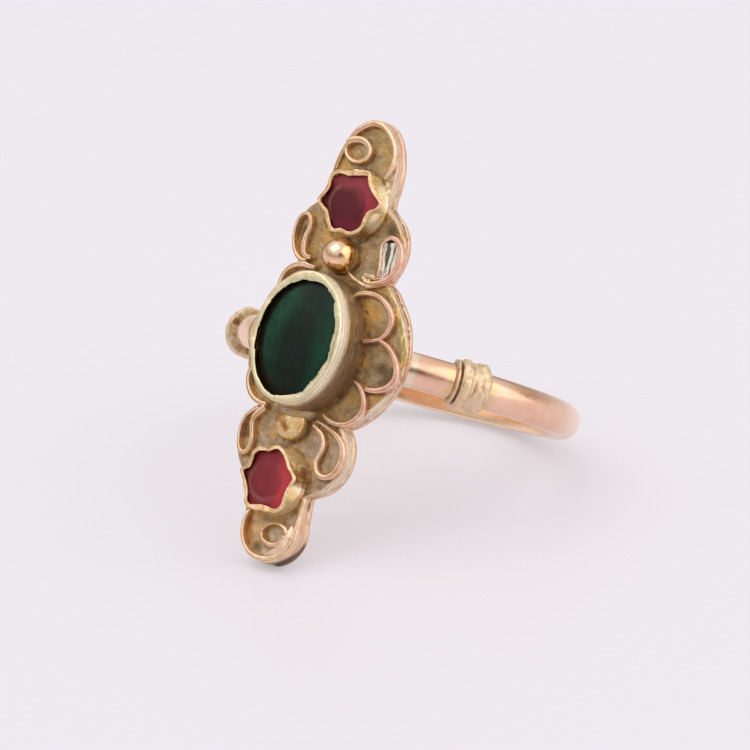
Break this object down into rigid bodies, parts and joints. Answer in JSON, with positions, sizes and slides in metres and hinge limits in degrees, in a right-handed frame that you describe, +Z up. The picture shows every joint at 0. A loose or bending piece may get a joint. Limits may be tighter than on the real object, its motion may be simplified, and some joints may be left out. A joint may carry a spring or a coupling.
{
  "type": "navette ring",
  "caption": "Navette ring lying on its side: long scalloped gold plaque with wirework, a tall oval green stone, crimped star collets with red stones, on a plain hoop.",
  "frame": {"origin": "Middle of the footprint on the floor, under the ring as it lies on its side.", "axes": "+X across the plaque, to the right when its face is looked at; +Z up; the plaque's face looks towards -Y and up, and the hoop lies behind it towards +Y."},
  "size_m": [0.021, 0.0246, 0.0226],
  "materials": {
    "rose_gold": "polished rose gold hoop, wire and back plate edge",
    "pale_gold": "pale greenish-yellow gold with a torn rim, and pale collars with dents",
    "yellow_gold": "warm yellow gold star collets and beads, crimped and dented",
    "tarnished_gold": "dull olive-brown tarnish on the plaque's face and sides, with grey and golden stains",
    "green_stone": "dark bottle green, nearly opaque, softly polished low dome",
    "red_stone": "plum to raspberry red, cut with a round table"
  },
  "bodies": {
    "root": {"ring_mount": "rose_gold", "centre_stone": "green_stone", "upper_stone": "red_stone", "lower_stone": "red_stone"}
  },
  "joints": []
}
